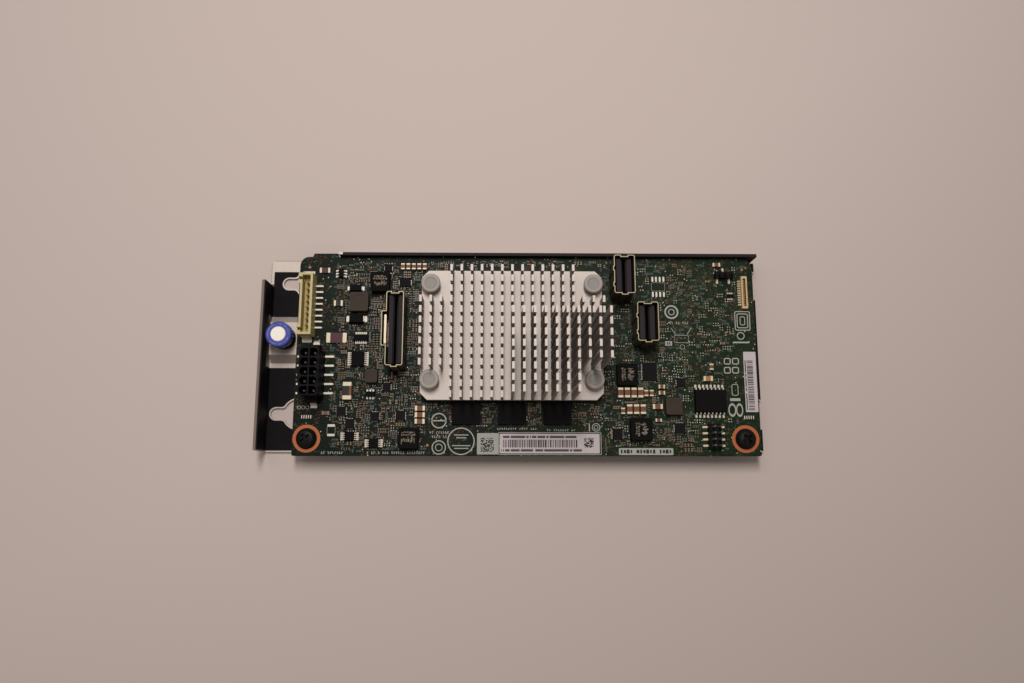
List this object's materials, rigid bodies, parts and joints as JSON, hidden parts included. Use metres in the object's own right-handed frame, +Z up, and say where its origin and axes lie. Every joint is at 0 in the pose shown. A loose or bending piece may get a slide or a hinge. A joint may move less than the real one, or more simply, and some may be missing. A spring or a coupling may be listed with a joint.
{
  "type": "raid controller card",
  "caption": "Storage controller board on a folded steel tray with keyholes and a pull-up lock plunger; pin-fin heat sink, shielded data sockets, power and signal headers.",
  "frame": {"origin": "centre of the tray's underside", "axes": "+X along the board towards the debug header, +Y towards the tray's back wall, +Z up out of the component face"},
  "size_m": [0.1656, 0.067, 0.0359],
  "materials": {
    "zinc_steel": "satin",
    "black_film": "gloss",
    "board_green": "satin",
    "black_screw": "satin",
    "sink_aluminium": "satin",
    "pin_plastic": "satin",
    "spring_steel": "satin",
    "pad_grey": "matte",
    "epoxy_black": "matte",
    "tinned_lead": "satin",
    "gold_contact": "satin",
    "shell_plate": "satin",
    "black_plastic": "satin",
    "beige_plastic": "satin",
    "cream_plastic": "satin",
    "ferrite_brown": "matte",
    "ceramic_tan": "satin",
    "resistor_maroon": "satin",
    "label_white": "matte",
    "knob_blue": "gloss",
    "turned_steel": "polished"
  },
  "bodies": {
    "card": {"tray": "zinc_steel", "insulating_film": "black_film", "standoffs": "zinc_steel", "circuit_board": "board_green", "board_screws": "black_screw", "heat_sink": "sink_aluminium", "push_pins": "pin_plastic", "push_pin_springs": "spring_steel", "controller_substrate": "board_green", "controller_lid": "turned_steel", "thermal_pad": "pad_grey", "memory_chips": "epoxy_black", "signal_header_housing": "beige_plastic", "signal_header_pins": "tinned_lead", "signal_header_nails": "tinned_lead", "power_header_housing": "black_plastic", "power_header_pins": "tinned_lead", "power_header_nails": "tinned_lead", "pin_header_body": "black_plastic", "pin_header_pins": "gold_contact", "jumper_header_body": "black_plastic", "jumper_header_pins": "gold_contact", "cable_connector_body": "cream_plastic", "cable_connector_contacts": "gold_contact", "flash_chip": "epoxy_black", "flash_chip_leads": "tinned_lead", "small_outline_chips": "epoxy_black", "small_outline_leads": "tinned_lead", "flat_chips": "epoxy_black", "power_coils": "epoxy_black", "wound_coils": "ferrite_brown", "chip_capacitors": "ceramic_tan", "sense_resistors": "resistor_maroon", "diodes": "epoxy_black", "diode_leads": "tinned_lead", "barcode_label": "label_white", "square_label": "label_white", "edge_label": "label_white", "plunger_ferrule": "black_screw", "plunger_spring": "spring_steel", "long_socket_shell": "shell_plate", "long_socket_housing": "black_plastic", "long_socket_contacts": "gold_contact", "long_socket_latch": "shell_plate", "back_socket_shell": "shell_plate", "back_socket_housing": "black_plastic", "back_socket_contacts": "gold_contact", "front_socket_shell": "shell_plate", "front_socket_housing": "black_plastic", "front_socket_contacts": "gold_contact"},
    "plunger": {"plunger_pin": "turned_steel", "plunger_knob": "knob_blue"}
  },
  "joints": [
    {"name": "plunger_lift", "type": "slide", "parent": "card", "child": "plunger", "axis": [0, 0, 1], "range_m": [0, 0.003], "stiffness_N_per_m": 1200, "springref_m": -0.0025, "deforming": ["plunger_spring"]}
  ]
}
